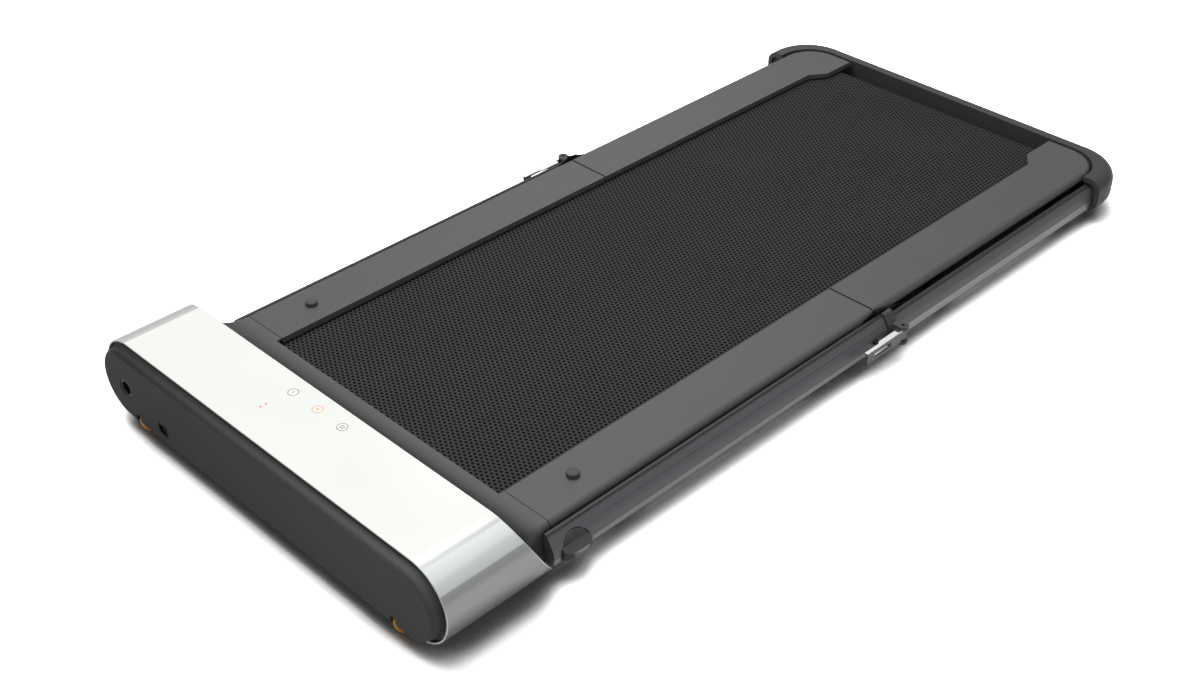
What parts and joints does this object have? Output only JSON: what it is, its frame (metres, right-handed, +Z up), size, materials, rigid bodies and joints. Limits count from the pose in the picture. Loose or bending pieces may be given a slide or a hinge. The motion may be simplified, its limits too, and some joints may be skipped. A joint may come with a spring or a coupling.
{
  "type": "folding walking pad",
  "caption": "Flat powered walking pad whose rear half folds up over the front, with a round-ended console, transport wheels, side beams and swing latches at the fold.",
  "frame": {"origin": "centre of the floor outline, on the floor", "axes": "+Z up, -Y towards the console, +X to the left of a walker who faces the console"},
  "size_m": [0.686, 1.4394, 0.131],
  "materials": {
    "console_white": "smooth, slightly glossy white",
    "cap_grey": "fine-grained dark grey",
    "rail_grey": "satin mid grey",
    "belt_black": "matt, with a dimpled pattern",
    "beam_grey": "dark anodised with a lighter lower strip",
    "bar_grey": "satin dark grey",
    "pedal_grey": "satin dark grey",
    "latch_steel": "bright",
    "collar_black": "satin",
    "frame_steel": "black powder coat",
    "shaft_steel": "machined",
    "deck_board": "dark laminate",
    "soft_black": "matt",
    "wheel_orange": "satin orange",
    "key_print": "flush, plain",
    "inner_plastic": "moulded",
    "board_green": "bare circuit board",
    "unit_metal": "bare folded casing",
    "motor_black": "black enamel"
  },
  "bodies": {
    "base": {"console_shell": "console_white", "console_front_cap": "cap_grey", "front_cover": "cap_grey", "touch_keys": "key_print", "display_board": "board_green", "power_inlet": "inner_plastic", "switch_bezel": "inner_plastic", "control_unit": "unit_metal", "motor": "motor_black", "motor_mount": "frame_steel", "drive_belt": "soft_black", "front_axle": "shaft_steel", "walking_belt": "belt_black", "frame_tube_front_left": "frame_steel", "frame_tube_front_right": "frame_steel", "front_cross_tubes": "frame_steel", "front_deck": "deck_board", "rail_cover_front_left": "rail_grey", "rail_cover_front_right": "rail_grey", "rail_bumpers": "soft_black", "side_beam_front_left": "beam_grey", "side_beam_front_right": "beam_grey", "beam_spacers": "frame_steel", "latch_strikers": "latch_steel", "pedal_pins": "latch_steel", "fold_hinge_front": "frame_steel", "fold_hinge_pins": "shaft_steel", "wheel_forks": "frame_steel", "wheel_axles": "shaft_steel", "front_feet": "soft_black"},
    "rear_half": {"frame_tube_rear_left": "frame_steel", "frame_tube_rear_right": "frame_steel", "rear_cross_tubes": "frame_steel", "rear_deck": "deck_board", "rail_cover_rear_left": "rail_grey", "rail_cover_rear_right": "rail_grey", "rear_axle": "shaft_steel", "tension_blocks": "inner_plastic", "tension_screws": "shaft_steel", "tube_end_caps": "inner_plastic", "side_tube_rear_left": "beam_grey", "side_tube_rear_right": "beam_grey", "tube_spacers": "frame_steel", "rear_bar": "bar_grey", "fold_hinge_rear": "frame_steel", "hinge_collar_left": "collar_black", "hinge_collar_right": "collar_black", "latch_pins": "latch_steel", "rear_feet": "soft_black"},
    "hasp_left": {"hasp_left": "latch_steel"},
    "hasp_right": {"hasp_right": "latch_steel"},
    "pedal_left": {"pedal_left": "pedal_grey"},
    "pedal_right": {"pedal_right": "pedal_grey"},
    "wheel_left": {"wheel_left": "wheel_orange"},
    "wheel_right": {"wheel_right": "wheel_orange"},
    "front_roller": {"front_roller": "shaft_steel", "roller_pulley": "inner_plastic"},
    "motor_rotor": {"motor_pulley": "shaft_steel"},
    "rear_roller": {"rear_roller": "shaft_steel"},
    "power_rocker": {"power_rocker": "inner_plastic"}
  },
  "joints": [
    {"name": "deck_fold", "type": "hinge", "parent": "base", "child": "rear_half", "pos_m": [0, 0.09725, 0.0756], "axis": [1, 0, 0], "range_deg": [0, 179], "deforming": ["walking_belt"]},
    {"name": "hasp_swing_left", "type": "hinge", "parent": "rear_half", "child": "hasp_left", "pos_m": [0.335, 0.11675, 0.045], "axis": [0, 0, 1], "range_deg": [0, 100]},
    {"name": "hasp_swing_right", "type": "hinge", "parent": "rear_half", "child": "hasp_right", "pos_m": [-0.335, 0.11675, 0.045], "axis": [0, 0, -1], "range_deg": [0, 100]},
    {"name": "pedal_press_left", "type": "hinge", "parent": "base", "child": "pedal_left", "pos_m": [0.313, -0.49525, 0.0535], "axis": [0, 1, 0], "range_deg": [0, 10], "stiffness_Nm_per_rad": 2},
    {"name": "pedal_press_right", "type": "hinge", "parent": "base", "child": "pedal_right", "pos_m": [-0.313, -0.49525, 0.0535], "axis": [0, -1, 0], "range_deg": [0, 10], "stiffness_Nm_per_rad": 2},
    {"name": "wheel_spin_left", "type": "hinge", "parent": "base", "child": "wheel_left", "pos_m": [0.258, -0.69575, 0.024], "axis": [1, 0, 0], "continuous": true},
    {"name": "wheel_spin_right", "type": "hinge", "parent": "base", "child": "wheel_right", "pos_m": [-0.258, -0.69575, 0.024], "axis": [1, 0, 0], "continuous": true},
    {"name": "front_roller_spin", "type": "hinge", "parent": "base", "child": "front_roller", "pos_m": [0, -0.54375, 0.043], "axis": [1, 0, 0], "continuous": true},
    {"name": "rear_roller_spin", "type": "hinge", "parent": "rear_half", "child": "rear_roller", "pos_m": [0, 0.65325, 0.043], "axis": [1, 0, 0], "continuous": true},
    {"name": "motor_spin", "type": "hinge", "parent": "base", "child": "motor_rotor", "pos_m": [0.239, -0.64775, 0.08], "axis": [1, 0, 0], "continuous": true},
    {"name": "rocker_tip", "type": "hinge", "parent": "base", "child": "power_rocker", "pos_m": [-0.198, -0.71375, 0.046], "axis": [1, 0, 0], "range_deg": [-8, 8]}
  ],
  "couplings": [
    {"joint": "rear_roller_spin", "follows": "front_roller_spin", "ratio": 1},
    {"joint": "motor_spin", "follows": "front_roller_spin", "ratio": 1.6923}
  ]
}
